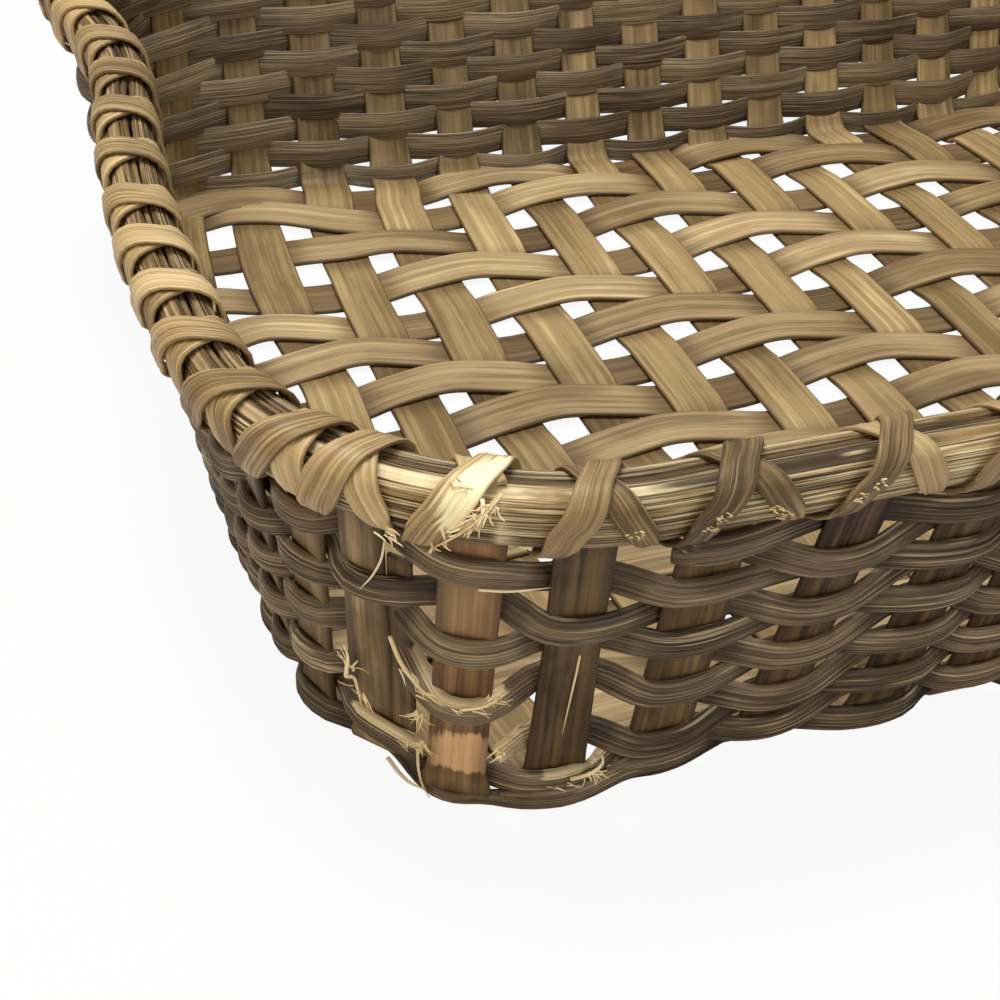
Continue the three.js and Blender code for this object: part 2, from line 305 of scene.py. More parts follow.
def strip_mesh(centre, facing, half_width, thickness, profile, strand, **paint):
    """A strip along a line of centre points. facing is the way its face looks, and the profile
    gives its section as shares of the half width and of the thickness."""
    count = len(centre)
    centre = settled(centre)
    along = unit(np.gradient(centre, axis=0))
    side = unit(np.cross(facing, along))
    face = np.cross(along, side)
    half_width = np.broadcast_to(half_width, (count,))
    thickness = np.broadcast_to(thickness, (count,))
    over = profile[None, :, 0] * half_width[:, None]
    through = profile[None, :, 1] * thickness[:, None]
    points = centre[:, None] + side[:, None] * over[..., None] + face[:, None] * through[..., None]
    return join_sections(points, run_along(centre), over, through, strand, **paint)


def make_piece(name, strips, material, node=None):
    """One object out of one or more strips, which rides on the basket and may stand for a node."""
    offset = 0
    points, loops, totals = [], [], []
    for strip in strips:
        sides, caps = strip["sides"], strip["caps"]
        a, b, c, d = np.moveaxis(strip["points"][sides], 1, 0)
        volume = np.sum(a * (np.cross(b, c) + np.cross(c, d)))
        if volume < 0:
            sides = sides[:, ::-1]
            caps = [cap[::-1] for cap in caps]
        points.append(strip["points"])
        loops += [sides.ravel() + offset] + [cap + offset for cap in caps]
        totals += [np.full(len(sides), 4)] + [[len(cap)] for cap in caps]
        offset += len(strip["points"])
    loops, totals = np.concatenate(loops), np.concatenate(totals)
    mesh = bpy.data.meshes.new(name)
    mesh.vertices.add(offset)
    mesh.vertices.foreach_set("co", np.concatenate(points).ravel())
    mesh.loops.add(len(loops))
    mesh.loops.foreach_set("vertex_index", loops.astype(np.int32))
    mesh.polygons.add(len(totals))
    mesh.polygons.foreach_set("loop_start", (np.cumsum(totals) - totals).astype(np.int32))
    mesh.polygons.foreach_set("loop_total", totals.astype(np.int32))
    # The four-cornered sides are smooth, and the caps with more corners are flat.
    mesh.polygons.foreach_set("use_smooth", totals == 4)
    mesh.update(calc_edges=True)
    mesh.validate()
    reed = np.concatenate([strip["reed"] for strip in strips]).ravel()
    mesh.attributes.new("reed", "FLOAT_VECTOR", "POINT").data.foreach_set("vector", reed)
    for kind in paint_kinds:
        values = np.concatenate([strip[kind] for strip in strips])
        mesh.attributes.new(kind, "FLOAT", "POINT").data.foreach_set("value", values)
    piece = bpy.data.objects.new(name, mesh)
    bpy.context.scene.collection.objects.link(piece)
    mesh.materials.append(material)
    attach(piece, "root")
    if node:
        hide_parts(node)
    return piece


reed_colours = ("Dark", "Middle", "Light", "Weathered Dark", "Weathered Middle", "Weathered Light", "Bare")
reed_shares = ("Fibre Width", "Fibres", "Streaks", "Stains", "Pale Fibres", "Open Grain")
# A dark brown that the shade attribute mixes in: mostly painted shade, partly dirt along splint edges.
shade_and_dirt_colour = (0.22, 0.155, 0.09, 1)


def build_reed_grain():
    """Split reed: fine fibres and streaks along the strip, broad stains, painted shade that is partly dirt,
    and bare wood.
    """
    group = bpy.data.node_groups.new("reed_grain", "ShaderNodeTree")
    sockets = [(name, "INPUT", "NodeSocketColor") for name in reed_colours]
    sockets += [(name, "INPUT", "NodeSocketFloat") for name in reed_shares]
    sockets += [("Color", "OUTPUT", "NodeSocketColor"), ("Roughness", "OUTPUT", "NodeSocketFloat"),
                ("Height", "OUTPUT", "NodeSocketFloat")]
    for name, way, kind in sockets:
        group.interface.new_socket(name, in_out=way, socket_type=kind)
    nodes, links = group.nodes, group.links
    given = nodes.new("NodeGroupInput").outputs
    result = nodes.new("NodeGroupOutput").inputs

    def feed(inputs, values):
        """Gives each input its number or colour, or links the output that it takes."""
        for socket, value in zip(inputs, values):
            if isinstance(value, bpy.types.NodeSocket):
                links.new(value, socket)
            else:
                socket.default_value = value

    def attribute(name, output="Fac"):
        node = nodes.new("ShaderNodeAttribute")
        node.attribute_name = name
        return node.outputs[output]

    def math(operation, *values, clamp=False):
        node = nodes.new("ShaderNodeMath")
        node.operation = operation
        node.use_clamp = clamp
        feed(node.inputs, values)
        return node.outputs[0]

    def spread(value, low, high, start=0.0, end=1.0):
        node = nodes.new("ShaderNodeMapRange")
        node.interpolation_type = "SMOOTHSTEP"
        feed(node.inputs, (value, low, high, start, end))
        return node.outputs[0]

    def mixed(share, first, second, blend="MIX"):
        node = nodes.new("ShaderNodeMix")
        node.data_type = "RGBA"
        node.blend_type = blend
        feed((node.inputs[0], node.inputs[6], node.inputs[7]), (share, first, second))
        return node.outputs[2]

    place = nodes.new("ShaderNodeSeparateXYZ")
    links.new(attribute("reed", "Vector"), place.inputs[0])
    along, across, strand = place.outputs

    def noise(along_scale, across_scale, strand_scale, detail, roughness, fibrous=True):
        """Noise drawn out along the strip, in waves a metre, that differs from strand to strand."""
        over = math("MULTIPLY", across, across_scale)
        if fibrous:
            over = math("DIVIDE", over, given["Fibre Width"])
        joined = nodes.new("ShaderNodeCombineXYZ")
        feed(joined.inputs, (math("MULTIPLY", along, along_scale), over,
                             math("MULTIPLY", strand, strand_scale)))
        node = nodes.new("ShaderNodeTexNoise")
        links.new(joined.outputs[0], node.inputs["Vector"])
        for name, value in (("Scale", 1.0), ("Detail", detail), ("Roughness", roughness)):
            node.inputs[name].default_value = value
        return node.outputs["Fac"]

    fibres = noise(28, 1100, 7.31, 4, 0.62)
    streaks = noise(9, 640, 3.17, 3, 0.55)
    stains = noise(24, 70, 5.13, 4, 0.6, fibrous=False)
    broad = noise(7, 18, 9.7, 2, 0.5, fibrous=False)
    glints = noise(40, 1500, 2.9, 2, 0.5)
    pores = noise(11, 1300, 6.1, 2, 0.5)

    # The tone runs from dark to light, for fresh and for weathered reed.
    fibre_part = spread(fibres, 0.34, 0.66)
    stain_part = spread(stains, 0.42, 0.68)
    tone = math("ADD", math("MULTIPLY", fibre_part, given["Fibres"]),
                math("MULTIPLY", spread(streaks, 0.36, 0.64), given["Streaks"]))
    tone = math("ADD", tone, math("MULTIPLY", spread(broad, 0.35, 0.65), 0.36))
    tone = math("SUBTRACT", tone, math("MULTIPLY", stain_part, given["Stains"]), clamp=True)
    deep = spread(tone, 0.0, 0.5)
    high = spread(tone, 0.45, 1.0)
    fresh = mixed(high, mixed(deep, given["Dark"], given["Middle"]), given["Light"])
    old = mixed(deep, given["Weathered Dark"], given["Weathered Middle"])
    old = mixed(high, old, given["Weathered Light"])
    weather = attribute("weather")
    age = math("ADD", weather, math("MULTIPLY", math("SUBTRACT", stain_part, 0.5), 0.24))
    age = math("MULTIPLY", age, spread(weather, 0.0, 0.2), clamp=True)
    colour = mixed(age, fresh, old)

    # Open pores are dark, glints are pale fibres, and torn skin leaves bare wood.
    pore_part = math("MULTIPLY", spread(pores, 0.36, 0.46, 1.0, 0.0), given["Open Grain"])
    colour = mixed(pore_part, colour, mixed(age, given["Dark"], given["Weathered Dark"]))
    pale = math("MULTIPLY", spread(glints, 0.58, 0.68), given["Pale Fibres"])
    colour = mixed(pale, colour, given["Bare"])
    ragged = math("MULTIPLY_ADD", math("SUBTRACT", stains, 0.5), 0.9, attribute("wear"))
    ragged = math("MULTIPLY_ADD", math("SUBTRACT", fibres, 0.5), 0.9, ragged)
    torn = math("MULTIPLY", spread(ragged, 0.30, 0.52), spread(fibres, 0.25, 0.55, 0.7, 1.0))
    colour = mixed(torn, colour, given["Bare"])
    # The shade attribute darkens the colour towards that brown: painted shade in grooves, under the rim and
    # behind stakes, and some dirt.
    shade_and_dirt = math("MULTIPLY", attribute("shade"), spread(stains, 0.3, 0.7, 1.0, 0.72), clamp=True)
    colour = mixed(shade_and_dirt, colour, mixed(1.0, colour, shade_and_dirt_colour, "MULTIPLY"))
    links.new(colour, result["Color"])
    rough = math("ADD", math("MULTIPLY", fibre_part, -0.16), math("MULTIPLY", stain_part, 0.12))
    links.new(math("ADD", rough, 0.62), result["Roughness"])
    height = math("ADD", math("MULTIPLY", fibres, 0.6), math("MULTIPLY", streaks, 0.8))
    links.new(math("SUBTRACT", height, math("MULTIPLY", pore_part, 0.5)), result["Height"])
    return group


reed_grain = build_reed_grain()


def linear(red, green, blue):
    """A colour given in the numbers 0 to 255 that a screen shows."""
    values = []
    for value in (red, green, blue):
        share = value / 255
        values.append(share / 12.92 if share <= 0.04045 else ((share + 0.055) / 1.055) ** 2.4)
    return (*values, 1.0)


def reed_material(name, fresh, weathered, bare, fibre_width=0.9, fibres=0.34, streaks=0.36, stains=0.3,
                  pale=0.1, open_grain=0.3, gloss=0.05, bump=0.4):
    """Reed of three fresh colours, three weathered ones and a bare one, each from dark to light."""
    material = bpy.data.materials.new(name)
    material.use_nodes = True
    nodes, links = material.node_tree.nodes, material.node_tree.links
    shader = nodes["Principled BSDF"]
    grain = nodes.new("ShaderNodeGroup")
    grain.node_tree = reed_grain
    for socket, colour in zip(reed_colours, (*fresh, *weathered, bare)):
        grain.inputs[socket].default_value = linear(*colour)
    for socket, share in zip(reed_shares, (fibre_width, fibres, streaks, stains, pale, open_grain)):
        grain.inputs[socket].default_value = share
    raised = nodes.new("ShaderNodeBump")
    raised.inputs["Strength"].default_value = bump
    raised.inputs["Distance"].default_value = 0.0006
    links.new(grain.outputs["Height"], raised.inputs["Height"])
    links.new(raised.outputs["Normal"], shader.inputs["Normal"])
    links.new(grain.outputs["Color"], shader.inputs["Base Color"])
    links.new(grain.outputs["Roughness"], shader.inputs["Roughness"])
    shader.inputs["Coat Weight"].default_value = gloss
    shader.inputs["Coat Roughness"].default_value = 0.35
    shader.inputs["Specular IOR Level"].default_value = 0.26
    return material


old_wall = ((38, 25, 9), (88, 66, 36), (142, 113, 70))
splint_grain = {"fibre_width": 1.4, "stains": 0.2, "pale": 0.05}
column_reed = reed_material("column_reed", ((114, 93, 58), (154, 130, 88), (216, 190, 136)), old_wall,
                            (204, 162, 116), fibres=0.19, streaks=0.27, open_grain=0.06, **splint_grain)
corner_reed = reed_material("corner_stake_reed", ((108, 86, 52), (152, 128, 84), (196, 168, 112)),
                            ((78, 52, 29), (130, 98, 63), (166, 130, 90)), (204, 166, 120),
                            fibres=0.2, streaks=0.22, open_grain=0.1, **splint_grain)
flat_section = np.array([
    (-1.0, -0.15), (-1.0, 0.20), (-0.965, 0.42), (-0.90, 0.5), (-0.5, 0.52), (0.0, 0.53), (0.5, 0.52),
    (0.90, 0.5), (0.965, 0.42), (1.0, 0.20), (1.0, -0.15), (0.95, -0.5), (0.4, -0.5), (-0.4, -0.5),
    (-0.95, -0.5)])
straight_up = np.array([0.0, 0.0, 1.0])
base_step = 2.6
flat_step = 2.0
bend_run = 4.2
bend_lift = 0.5
layer_margin = 0.6
layer_share = 0.48
# Painted shade below the rim, along the foot of the walls and where a splint dips under another; the dark
# splint edges are partly dirt and partly painted shade.
below_rim_shade = 0.6
wall_foot_shade = 0.5
under_crossing_shade = 0.78
edge_dirt_and_shade = 0.72
edge_from = 0.93


def flat_end(stake):
    """Where the flat part of a splint ends, just inside the foot of its stake."""
    return stake["foot"] - stake["outward"] * bend_run


def stake_path(stake):
    """Points from a stake's bend to its top, with the way its inner face looks."""
    bend = stake_point(stake, stake["bend_rise"] / 3) - stake["outward"] * bend_run / 5
    bend[2] = low_layer + bend_lift
    heights = np.linspace(stake["bend_rise"], stake_top, stake_points)
    looks = np.repeat(-stake["outward"][None], stake_points + 1, 0)
    looks[0] = unit(straight_up - stake["outward"])
    return np.concatenate([bend[None], stake_point(stake, heights)]), looks


def splint_path(start_stake, end_stake, flat_points):
    """A whole splint: down one stake, round its bend, across the base and up the other stake."""
    first, first_looks = stake_path(start_stake)
    last, last_looks = stake_path(end_stake)
    flat_looks = np.broadcast_to(straight_up, flat_points.shape)
    points = np.concatenate([first[::-1], flat_points, last])
    facing = np.concatenate([first_looks[::-1], flat_looks, last_looks])
    length = run_along(points)
    places = np.linspace(0, length[-1], int(length[-1] / base_step))
    passes = 1 if start_stake is corner_stake else 3
    centre = smoothed(read_off(places, length, points), passes)
    return centre, unit(smoothed(read_off(places, length, facing), passes))


def layer_line(places, crossings, half_width, on_top):
    """The height of a splint along the base, which changes layer between two crossings."""
    knots, levels = [], []
    for k, crossing in enumerate(crossings):
        for neighbour in (k - 1, k + 1):
            reach = half_width + layer_margin
            if 0 <= neighbour < len(crossings):
                reach = min(reach, layer_share * abs(crossings[neighbour] - crossing))
            knots.append(crossing + (neighbour - k) * reach)
            levels.append(high_layer if on_top[k] else low_layer)
    knots = [knots[0] - 4.0] + knots + [knots[-1] + 4.0]
    levels = [low_layer] + levels + [low_layer]
    return np.interp(places, knots, levels)


def wall_part(points):
    """0 in the base and 1 on the walls, where the splints have weathered darker."""
    return ramp(points[:, 2], 3.5, 8)


def splint_shade(points):
    """Painted shade below the rim, in the base along the foot of the walls and where a splint dips under
    another, and dark edges that are partly dirt and partly painted shade.
    """
    z = points[:, 2]
    reach = np.maximum(np.abs(points[:, 0]) / half_length, np.abs(points[:, 1]) / half_depth)
    along = below_rim_shade * ramp(z, 76, 6) + (z < 6) * wall_foot_shade * ramp(reach, 0.86, 0.14)
    under = under_crossing_shade * (z < 3.6) * ramp(z, high_layer, low_layer - high_layer)
    edges = edge_dirt_and_shade * (np.abs(flat_section[:, 0]) > edge_from)
    return np.clip(0.04 + (along + under)[:, None] + edges, 0, 1)


def plateau(values, low, high, soft):
    return ramp(values, low, soft) * ramp(values, high, -soft)


def splint_half_width(centre, flat_width, wall_width, unevenness):
    """Half a splint's width: one width in the base, another on the walls, and never quite even."""
    on_wall = wall_part(centre)
    even = (flat_width * (1 - on_wall) + wall_width * on_wall) / 2
    return even + wander(np.arange(len(centre)) * base_step, *unevenness)


# Each sway and unevenness is the length between two changes and how large they are. The corner
# stake's bare and pale stretches have a lower and an upper height, and how softly they end.
column_weather = np.array([1.0, 1.0, 1.0, 1.0, 1.0, 0.95, 0.9] + [0.95] * 8)
back_weather = 0.4
column_end_run = 14
column_sway = (60.0, 0.7)
column_unevenness = (45.0, 0.45)
corner_bare = (8, 26, 5)
corner_pale = (48, 68, 6)
for c in range(column_count):
    y = np.arange(-half_depth + bend_run + 1, half_depth - bend_run - 1 + 0.01, flat_step)
    start, finish = flat_end(front_stakes[c]), flat_end(back_stakes[c])
    y = y[(y > start[1] + 1) & (y < finish[1] - 1)]
    near_start = 1 - ramp(y, start[1], column_end_run)
    near_finish = 1 - ramp(y, finish[1], -column_end_run)
    x = column_x(c, y) + near_start * (start[0] - column_x(c, start[1]))
    x = x + near_finish * (finish[0] - column_x(c, finish[1]))
    x = x + wander(y, *column_sway) * (1 - near_start) * (1 - near_finish)
    order = np.arange(row_count)[::-1]
    z = layer_line(y, cross_y[c, order], row_width / 2, [column_on_top(c, r) for r in order])
    centre, facing = splint_path(front_stakes[c], back_stakes[c], np.stack([x, y, z], -1))
    on_front = centre[:, 1] < 0
    wall_width = np.where(on_front, column_stake_widths[c], column_stake_widths[-1 - c])
    half_width = splint_half_width(centre, column_width, wall_width, column_unevenness)
    # The corner stake has lost its skin low down, where the peach wood shows, and is paler above.
    z = centre[:, 2]
    at_corner = on_front * (c == 0)
    middle_out = 1 - 0.6 * np.abs(flat_section[:, 0] + 0.2)
    wear = (0.95 * plateau(z, *corner_bare) * at_corner)[:, None] * middle_out
    age = wall_part(centre) * column_weather[c] * np.where(centre[:, 1] > 0, back_weather, 1.0)
    age = age * (1 - 0.25 * at_corner * plateau(z, *corner_pale))
    piece = strip_mesh(centre, facing, half_width, splint_thickness, flat_section, c + 1.0,
                       wear=wear, shade=splint_shade(centre), weather=age)
    make_piece("column_splint_%02d" % (c + 1), [piece], corner_reed if c == 0 else column_reed,
               "base_column_%02d" % (c + 1))

# Base rows: narrower splints of the same reed, woven through the columns from left to right.
# They bow forward under two columns and back over the next two. The weave alone holds them, and
# their ends turn up to be the stakes of the side walls.
row_reed = reed_material("row_reed", ((114, 94, 62), (160, 137, 98), (224, 199, 152)), old_wall,
                         (222, 200, 160), fibres=0.19, streaks=0.27, open_grain=0.07, **splint_grain)
row_weather = 0.88 + 0.1 * np.sin(np.arange(row_count) * 1.7)
last_row_width = 15.4
row_end_run = 16
row_sway = (50.0, 0.5)
row_unevenness = (30.0, 0.7)
for r in range(row_count):
    start, finish = flat_end(left_stakes[r]), flat_end(right_stakes[r])
    x = np.arange(start[0] + 1, finish[0] - 1, flat_step)
    y = np.full(len(x), row_place(r))
    for _ in range(8):
        y = row_y(r, x, y)
    near_start = 1 - ramp(x, start[0], row_end_run)
    near_finish = 1 - ramp(x, finish[0], -row_end_run)
    y = y + near_start * (start[1] - y[0]) + near_finish * (finish[1] - y[-1])
    y = smoothed(y, 6) + wander(x, *row_sway) * (1 - near_start) * (1 - near_finish)
    z = layer_line(x, cross_x[:, r], column_width / 2, [not column_on_top(c, r) for c in range(column_count)])
    centre, facing = splint_path(left_stakes[r], right_stakes[r], np.stack([x, y, z], -1))
    flat_width = last_row_width if r == 0 else row_width
    half_width = splint_half_width(centre, flat_width, row_stake_width, row_unevenness)
    piece = strip_mesh(centre, facing, half_width, splint_thickness, flat_section, r + 21.0,
                       shade=splint_shade(centre), weather=wall_part(centre) * row_weather[r])
    make_piece("row_splint_%02d" % (r + 1), [piece], row_reed, "base_row_%02d" % (r + 1))

# Weavers: split reed, flat inside and ribbed outside, that winds in and out of the stakes.
# Each round is one strip whose two ends are tucked behind a stake. The stakes are numbered
# round the basket: 0 to 14 in front from the left, then the right, the back and the left wall.
stakes = front_stakes + right_stakes[::-1] + back_stakes[::-1] + left_stakes
stake_count = len(stakes)
ring_foot, ring_head, ring_outward, ring_width = (
    np.array([stake[key] for stake in stakes]) for key in ("foot", "head", "outward", "width"))
rim_level = 87.35
rim_middles = ring_foot + (ring_head - ring_foot) * (rim_level / wall_height)
ring_gaps = np.linalg.norm(np.roll(rim_middles, -1, 0) - rim_middles, axis=1)
ring_places = np.concatenate([[0.0], np.cumsum(ring_gaps)])
ring_length = ring_places[-1]


def round_the_ring(values, places):
    """Reads a value given at each stake at any places round the basket, on a smooth curve."""
    wrapped = np.mod(places, ring_length)
    k = np.clip(np.searchsorted(ring_places, wrapped, side="right") - 1, 0, stake_count - 1)
    step = ring_gaps[k][:, None]
    before = ring_gaps[(k - 1) % stake_count][:, None]
    after = ring_gaps[(k + 1) % stake_count][:, None]
    p0, p1 = values[(k - 1) % stake_count], values[k]
    p2, p3 = values[(k + 1) % stake_count], values[(k + 2) % stake_count]
    slope1 = ((p2 - p1) / step * before + (p1 - p0) / before * step) / (step + before)
    slope2 = ((p3 - p2) / after * step + (p2 - p1) / step * after) / (step + after)
    t = ((wrapped - ring_places[k]) / ring_gaps[k])[:, None]
    return ((2 * t ** 3 - 3 * t ** 2 + 1) * p1 + (t ** 3 - 2 * t ** 2 + t) * step * slope1
            + (-2 * t ** 3 + 3 * t ** 2) * p2 + (t ** 3 - t ** 2) * step * slope2)


def at_stakes(values, places):
    """Reads a value given at each stake at any places round the basket, on straight lines."""
    return np.interp(np.mod(places, ring_length), ring_places, np.append(values, values[0]))


def ring_place(k):
    """A place along the rim from a stake's number, which may lie between two stakes."""
    turn, index = divmod(k, stake_count)
    whole = int(np.floor(index))
    return ring_places[whole] + (index - whole) * ring_gaps[whole] + turn * ring_length


def between(first, last, places):
    """Whether the places lie between two stakes, given by their numbers."""
    return np.mod(places - ring_place(first), ring_length) < ring_place(last) - ring_place(first)


def away_from(k, places):
    """How far the places lie from a stake, by the shorter way round."""
    ahead = np.mod(places - ring_place(k), ring_length)
    return np.minimum(ahead, ring_length - ahead)


def wall_surface(places, z, out):
    """Points on the wall: places along the rim, heights, and distances outward."""
    foot = round_the_ring(ring_foot, places)
    head = round_the_ring(ring_head, places)
    outward = unit(round_the_ring(ring_outward, places))
    z = np.broadcast_to(z, places.shape)[:, None]
    out = np.broadcast_to(out, places.shape)[:, None]
    return foot + (head - foot) * z / wall_height + outward * out, outward


def grooves(over, ribs, depth):
    """A wave over the face of split reed, which is deepest in the grooves between the ribs."""
    return depth * (0.5 - 0.5 * np.cos((over + 1) * np.pi * ribs))


def ribbed_section(ribs, depth, points):
    """The section of split reed: a flat back and a rounded face with lengthwise ribs."""
    over = np.linspace(-1, 1, points)
    arch = 0.12 + 0.88 * np.sqrt(np.clip(1 - np.abs(over) ** 2.6, 0, 1))
    face = np.stack([over, arch - grooves(over, ribs, depth) * (1 - np.abs(over) ** 6) - 0.5], -1)
    back = np.array([(0.92, -0.5), (0.0, -0.5), (-0.92, -0.5)])
    return np.concatenate([face, back])


weaver_reed = reed_material("weaver_reed", ((66, 54, 39), (125, 107, 82), (186, 166, 132)),
                            ((34, 24, 13), (78, 61, 42), (130, 110, 82)), (226, 206, 164),
                            fibre_width=0.36, fibres=0.5, streaks=0.28, stains=0.24, pale=0.5,
                            open_grain=0.5, gloss=0.1, bump=0.9)
weaver_count = 11
first_weaver = 6.7
weaver_pitch = 6.6
weaver_thickness = 2.1
weaver_half_height = 3.45
wider_at_back = 1.25
corner_half_height = 2.7
weaver_ribs = 8
weaver_section = ribbed_section(weaver_ribs, 0.13, 33)
# Painted shade in the grooves between a weaver's ribs and along its edges.
weaver_groove_shade = grooves(weaver_section[:, 0], weaver_ribs, 0.42)
weaver_groove_shade = np.where(np.abs(weaver_section[:, 0]) > 0.93, 0.5, weaver_groove_shade)
weaver_step = 2.6
fine_step = 0.8
frayed_run = 14
end_taper = 7
weaver_lift = (24.0, 0.35)
weaver_sway = (30.0, 0.12)
weaver_unevenness = (35.0, 0.2)
crest_out = 3.15
edge_out = 2.2
back_loop = -0.75
wider_round_foot = 0.12
least_sag = 0.2
front_sag = 1.6
tuck = 0.6
first_seam = 22
seam_step = 7
seam_stakes = 14
# Painted shade where a weaver passes inside behind a stake, with less of it at the back.
behind_stake_shade = 0.72
less_shade_at_back = 0.62
# Values at each stake: how much a weaver sags in front, how far it lies as at the back, its age.
front_weight = np.array([1.0] * 15 + [0.4] * 15 + [0.0] * 15 + [0.4] * 15)
back_weight = np.array([0.0] * 15 + [0.3] * 15 + [1.0] * 15 + [0.5] * 7 + [0.0] * 8)
weaver_weather = np.array([0.35, 0.45, 0.6, 0.8, 0.9] + [0.85] * 10 + [0.5] * 15 + [0.0] * 15 + [0.7] * 15)
sunk_at_back = {1: 3.6, 2: 1.9, 3: 0.8}
corner_loop = {0: -1.7, 1: 1.6}

# Near the worn corner the rounds have slipped: the height of a weaver, by its number, at a stake.
slipped = {
    1: {57: 6.5, 58: 6.5, 59: 4.5, 0: 1.6, 1: 2.8, 2: 5.6, 3: 5.8},
    2: {57: 13.0, 58: 15.0, 59: 14.5, 0: 7.5, 1: 6.6, 2: 12.0, 3: 10.0},
    3: {56: 21.0, 57: 23.0, 58: 25.0, 59: 27.0, 0: 15.0, 1: 19.0, 2: 13.0, 3: 17.5},
    4: {56: 28.0, 57: 30.0, 58: 32.0, 2: 24.5, 3: 20.5},
    5: {56: 35.0, 57: 38.0, 58: 41.0, 59: 44.5, 0: 31.5, 1: 38.0, 2: 30.0, 3: 31.5},
    6: {56: 42.0, 57: 45.0, 58: 48.0, 2: 38.5, 3: 34.0},
    7: {56: 49.0, 57: 53.0, 58: 56.0, 59: 54.0, 0: 49.0, 1: 49.5, 2: 46.0, 3: 45.0},
    8: {56: 56.0, 57: 59.0, 58: 63.0, 59: 60.0, 0: 61.0, 1: 56.0, 2: 53.5, 3: 48.0},
    9: {56: 61.0, 57: 66.0, 58: 71.0, 59: 74.0, 0: 72.0, 1: 67.0, 2: 61.5, 3: 58.5},
    10: {2: 68.5, 3: 62.0},
    11: {56: 74.0, 57: 76.0, 2: 73.0, 3: 72.5},
}
# Broken rounds: where each starts and ends, by stake. The others meet behind a stake at the back.
broken = {2: (1.28, 61.38), 3: (0.40, 58.80), 4: (1.80, 58.20), 6: (1.80, 58.20), 10: (1.80, 56.20),
          11: (1.64, 57.20)}


def weaver_line(number, first, last):
    """The way of a weaver from one stake to another: places, distances outward and heights."""
    z_middle = first_weaver + (number - 1) * weaver_pitch
    wider_low = 1 + wider_round_foot * (1 - z_middle / wall_height)
    knots = []
    for k in range(int(np.floor(first)), int(np.ceil(last)) + 1):
        index = k % stake_count
        middle = ring_place(k)
        outside = (index + number - 1) % 2 == 0 or (number == 1 and index == 1)
        way = 1 if outside else -1
        half = ring_width[index] / 2 * wider_low
        sag = least_sag + front_sag * front_weight[index] * outside
        z = slipped.get(number, {}).get(index, z_middle - way * sag)
        z = z - back_weight[index] * sunk_at_back.get(number, 0.0)
        loop = corner_loop.get(index, 0.0) if number == 1 else back_loop * back_weight[index]
        for place, out in ((middle - half, edge_out), (middle, crest_out), (middle + half, edge_out)):
            knots.append((place, way * (out + loop), z))
    places, outs, heights = np.transpose(knots)
    fine = np.arange(places[0], places[-1], fine_step)
    out = smoothed(np.interp(fine, places, outs), 12)
    z = smoothed(np.interp(fine, places, heights), 24)
    return fine, out, z


for number in range(1, weaver_count + 1):
    if number in broken:
        first, last = broken[number]
        fine, out, z = weaver_line(number, first, last)
        start_place, end_place = ring_place(first), ring_place(last)
    else:
        # Both ends are tucked behind a stake at the back right, where the weaver is inside.
        seam = first_seam + number * seam_step % seam_stakes
        if (seam + number - 1) % 2 == 0:
            seam += 1
        half = ring_width[seam % stake_count] / 2
        fine, out, z = weaver_line(number, seam, seam + stake_count)
        start_place, end_place = fine[0] + half + tuck, fine[-1] - half - tuck
    z = z + wander(fine, *weaver_lift)
    out = out + wander(fine, *weaver_sway)
    places = np.arange(start_place, end_place, weaver_step)
    outs = np.interp(places, fine, out)
    centre, outward = wall_surface(places, np.interp(places, fine, z), outs)
    at_back = at_stakes(back_weight, places)
    half_height = weaver_half_height + wider_at_back * at_back + wander(places, *weaver_unevenness)
    if number in broken:
        from_end = np.minimum(places - start_place, end_place - places)
        half_height = half_height * (0.6 + 0.4 * smooth_step(from_end / end_taper))
    if number == 1:
        narrow = 1.4 * (1 - ramp(away_from(0, places), 6, 4))
        half_height = np.where(between(-0.8, 1.7, places), corner_half_height - narrow, half_height)
        half_height = smoothed(half_height, 4)
    # The corner's rounds have lost their skin along their upper edges, the third at its ends.
    bare = np.zeros((len(places), len(weaver_section)))
    upper = weaver_section[:, 0] > 0.55
    if number == 5:
        at_corner = between(-0.9, 0.5, places)
        bare[at_corner] = np.where(upper, 0.95, 0.2)
    if number in (2, 3):
        near_ends = np.minimum(np.abs(places - start_place), np.abs(places - end_place)) < frayed_run
        bare[near_ends] = np.where(upper | (number == 3), 0.5, 0.0)
    if number == 2:
        bare[np.ix_(between(-1.3, -0.2, places), upper)] = 0.8
    # Painted shade behind the stakes and in the weaver's grooves.
    inside = ramp(outs, 0.8, -1.6) * (behind_stake_shade - less_shade_at_back * at_back)
    shade = 0.05 + inside[:, None] + weaver_groove_shade * (1 - 0.4 * at_back[:, None])
    strip = strip_mesh(centre, outward, half_height, weaver_thickness, weaver_section, number + 40.0,
                       wear=bare, shade=np.clip(shade, 0, 1), weather=at_stakes(weaver_weather, places))
    make_piece("weaver_reed_%02d" % number, [strip], weaver_reed, "weaver_%02d" % number)

# Rim: two half-round hoops clasp the tops of the stakes, and a strip of reed closes the gap
# between them. The hoops are thicker reed with coarse open grain, with painted shade on their lower
# half, in their grooves, on their backs in the hollow between them and along their tops on the
# left, and the lashing binds them to the stakes.
hoop_reed = reed_material("hoop_reed", ((48, 32, 12), (146, 119, 72), (246, 227, 180)), old_wall,
                          (240, 220, 176), fibre_width=0.4, fibres=0.62, streaks=0.46, stains=0.24,
                          pale=0.8, open_grain=0.9, gloss=0.16, bump=1.0)
hoop_height = 12.7
hoop_thickness = 4.8
hoop_middle = wall_height + hoop_height / 2
hoop_in = 1.05
hoop_ribs = 11
hoop_section = ribbed_section(hoop_ribs, 0.045, 45)
hoop_step = 3.0
hoop_unevenness = (60.0, 0.15)
